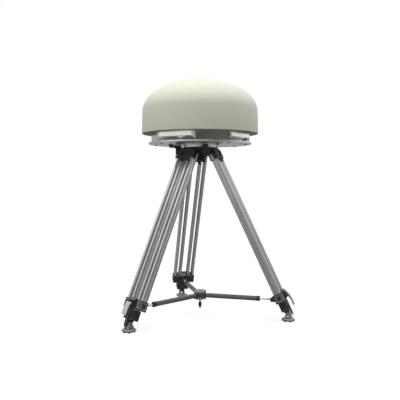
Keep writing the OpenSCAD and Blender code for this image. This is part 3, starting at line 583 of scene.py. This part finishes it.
def make_rail_trim(leg, matrix):
    """Collars where the fixed rails leave the bracket, and end caps on the sliding rails."""
    bracket_end = extent(f"bracket_{leg}", matrix)[0].z
    slide_top = extent(f"inner_tubes_{leg}", matrix)[1].z
    collars, caps = bmesh.new(), bmesh.new()
    for side in (-1, 1):
        for back in (0, RAIL_STEP):
            at = Matrix.Translation((side * OUTER_PITCH / 2, -back, bracket_end))
            ring(collars, RAIL_W / 2, RAIL_W / 2 + 1.3 * MM, -4 * MM, 0, matrix @ at)
            at = Matrix.Translation((side * INNER_PITCH / 2, -back, slide_top))
            ring(caps, 0, RAIL_W / 2 + 0.6 * MM, -3 * MM, 2.5 * MM, matrix @ at, 0.8 * MM)
    finished(f"rail_collars_{leg}", collars, f"leg_{leg}", TRIM_GREY, 30)
    finished(f"slide_caps_{leg}", caps, f"lower_leg_{leg}", BLACK_PLASTIC, 30)


def make_clamp_trim(leg, matrix):
    """Framed recess plates on both wings of the clamp and a black seal along its top edge."""
    low, high = extent(f"clamp_{leg}", matrix)
    bottom, top = low.z, low.z + CLAMP_H
    wing = extent(f"outer_tubes_{leg}", matrix)[0].y - CASTING_WALL
    plates, seal = bmesh.new(), bmesh.new()
    for side in (-1, 1):
        near, far = sorted((side * (CLAMP_MIDDLE_W / 2 + 1 * MM), side * (high.x - 1.2 * MM)))
        framed_plate(plates, (near, wing - 1.6 * MM, bottom + 7 * MM), (far, wing + 0.5 * MM, top - 5 * MM),
                     matrix, 2.4 * MM, 1.4 * MM)
        side_y = (wing + RAIL_W / 2) / 2
        turned = matrix @ Matrix.Translation((side * high.x, side_y, 0)) \
            @ Matrix.Rotation(side * math.pi / 2, 4, "Z")
        framed_plate(plates, (-12 * MM, -0.9 * MM, bottom + 6 * MM), (12 * MM, 0.4 * MM, top - 6 * MM),
                     turned, 2.2 * MM, 0.8 * MM)
        block(seal, (near, wing - 1.2 * MM, top - 4.2 * MM), (far, wing + 0.6 * MM, top - 0.4 * MM),
              matrix, 0.5 * MM)
    framed = finished(f"clamp_plates_{leg}", plates, f"leg_{leg}", TRIM_GREY)
    framed.data.materials.append(BLACK_CASTING)
    finished(f"clamp_seal_{leg}", seal, f"leg_{leg}", BLACK_PLASTIC)


def make_foot_trim(leg, matrix):
    """Sunk panels on the faces of the foot block."""
    low, high = extent(f"inner_tubes_{leg}", matrix)
    top = extent(f"foot_{leg}", matrix)[1].z
    bottom = top - FOOT_BLOCK_H
    front, back = low.y - FOOT_WALL, high.y + FOOT_WALL
    bm = bmesh.new()
    half = (high.x - low.x) / 2
    framed_plate(bm, (-half + 2 * MM, front - 0.9 * MM, bottom + 4 * MM),
                 (half - 2 * MM, front + 0.4 * MM, top - 4 * MM), matrix, 3 * MM, 0.8 * MM)
    for side in (-1, 1):
        face = side * (half + FOOT_WALL)
        turned = matrix @ Matrix.Translation((face, (front + back) / 2, 0)) \
            @ Matrix.Rotation(side * math.pi / 2, 4, "Z")
        reach = (back - front) / 2 - 3 * MM
        framed_plate(bm, (-reach, -0.9 * MM, bottom + 4 * MM), (reach, 0.4 * MM, top - 4 * MM),
                     turned, 2.6 * MM, 0.8 * MM)
    panels = finished(f"foot_panels_{leg}", bm, f"lower_leg_{leg}", CLAMP_PLASTIC)
    panels.data.materials.append(BLACK_CASTING)


# ---------------------------------------------------------------- spreader
def make_spreader():
    hub = rounded("hub_body", "spreader_hub", "spreader_hub", HUB_PLASTIC, 0.9 * MM)
    low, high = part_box("spreader_hub")
    hub_r = (high.x - low.x) / 2
    # The side faces below the rim take the darker copy: painted shade on the hub's sides
    second_finish(hub, HUB_PAINTED_SHADE, lambda centre, normal: abs(normal.z) < 0.4 and centre.z < high.z - HUB_RIM_H)
    bands = bmesh.new()
    for height in (low.z + 2.5 * MM, high.z - 6.5 * MM):
        ring(bands, hub_r - 1 * MM, hub_r + BAND_PROUD, height, height + BAND_H, Matrix.Identity(4),
             0.6 * MM, 96)
    finished("hub_bands", bands, "spreader_hub", HUB_PLASTIC, 30)
    rounded("hub_grip", "hub_handle", "hub_handle", BLACK_PLASTIC, 0.5 * MM, 2, 50)
    for leg in LEGS:
        sleeve = rounded(f"arm_sleeve_{leg}", f"arm_tube_{leg}", f"arm_{leg}", ARM_PLASTIC,
                         0.8 * MM)
        pivot = Vector(JOINTS[f"arm_{leg}_tilt"]["pos_m"])
        out = Vector((pivot.x, pivot.y, 0)).normalized()
        reach = max((vertex.co - pivot).dot(out) for vertex in sleeve.data.vertices)
        cap_start = reach - ARM_CAP - 0.5 * MM
        second_finish(sleeve, BLACK_PLASTIC,
                      lambda centre, normal: (centre - pivot).dot(out) > cap_start)


def paint_the_rest():
    """Finishes for the CAD nodes whose shape is shown as it is."""
    finishes = {
        "radome_gasket": SEAL_RUBBER, "radome_screws": BRIGHT_STEEL, "deck_plate": DISC_METAL,
        "case_screws": DARK_STEEL, "fan_frame": BLACK_PLASTIC, "fan_rotor": BLACK_PLASTIC,
        "port_panel": PORT_PLASTIC, "choke_ring": CASE_METAL, "antenna_element": ANTENNA_RESIN,
        "antenna_posts": PLATED_BRASS, "receiver_board": BOARD_MASK, "shield_cans": BRIGHT_STEEL,
        "heat_sink": DARK_STEEL, "battery_pack": BATTERY_WRAP, "adapter_bolts": DARK_STEEL,
        "hinge_pins": BRIGHT_STEEL,
    }
    for leg in LEGS:
        finishes[f"outer_tubes_{leg}"] = RAIL_METAL[leg]
        finishes[f"inner_tubes_{leg}"] = RAIL_METAL[leg]
        finishes[f"arm_rod_{leg}"] = BRIGHT_STEEL
    for node, material in finishes.items():
        frame["nodes"][node].material_slots[0].material = material


make_radome()
make_housing()
make_grille_shade_sheets()
make_crown()
for each_leg in LEGS:
    make_leg(each_leg)
make_spreader()
paint_the_rest()
